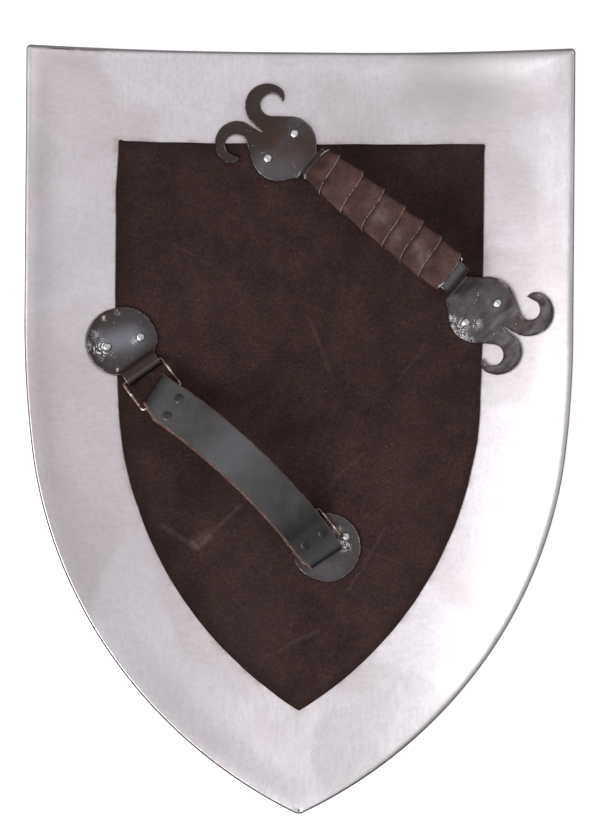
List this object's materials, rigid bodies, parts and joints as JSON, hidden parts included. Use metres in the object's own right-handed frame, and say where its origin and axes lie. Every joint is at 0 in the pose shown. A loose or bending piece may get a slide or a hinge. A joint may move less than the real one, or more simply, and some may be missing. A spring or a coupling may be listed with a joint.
{
  "type": "heater shield",
  "caption": "Steel heater shield, bent side to side and lying hollow side up, with a suede liner, a suede-wrapped grip and a leather arm strap on wire rings.",
  "frame": {"origin": "middle of the shield's length and width, on the surface that it lies on", "axes": "+Y from the point towards the straight top edge, +Z out of the hollow, towards the person who holds it, +X to the right as seen from that side"},
  "size_m": [0.52, 0.7332, 0.0707],
  "materials": {
    "shield_steel": "brushed, with light wear and small dark specks",
    "suede_brown": "dark brown suede with a matt, mottled nap",
    "grip_suede": "brown suede, worn shiny in patches",
    "black_iron": "blackened forged steel with bright file scratches",
    "ring_wire": "dark wire with a brown sheen",
    "strap_leather": "black leather, semi-gloss, with tan cut edges",
    "rivet_steel": "bright hammered steel",
    "strap_rivet_black": "black, worn at the rim"
  },
  "bodies": {
    "root": {"shield_body": "shield_steel", "suede_liner": "suede_brown", "grip_bar": "black_iron", "grip_wrap": "grip_suede", "grip_rivet_1": "rivet_steel", "grip_rivet_2": "rivet_steel", "grip_rivet_3": "rivet_steel", "grip_rivet_4": "rivet_steel", "strap_anchor_upper": "black_iron", "strap_anchor_lower": "black_iron", "ring_upper": "ring_wire", "ring_lower": "ring_wire", "anchor_rivet_1": "rivet_steel", "anchor_rivet_2": "rivet_steel", "anchor_rivet_3": "rivet_steel", "anchor_rivet_4": "rivet_steel", "arm_strap": "strap_leather", "strap_rivet_1": "strap_rivet_black", "strap_rivet_2": "strap_rivet_black", "strap_rivet_3": "strap_rivet_black", "strap_rivet_4": "strap_rivet_black"}
  },
  "joints": []
}
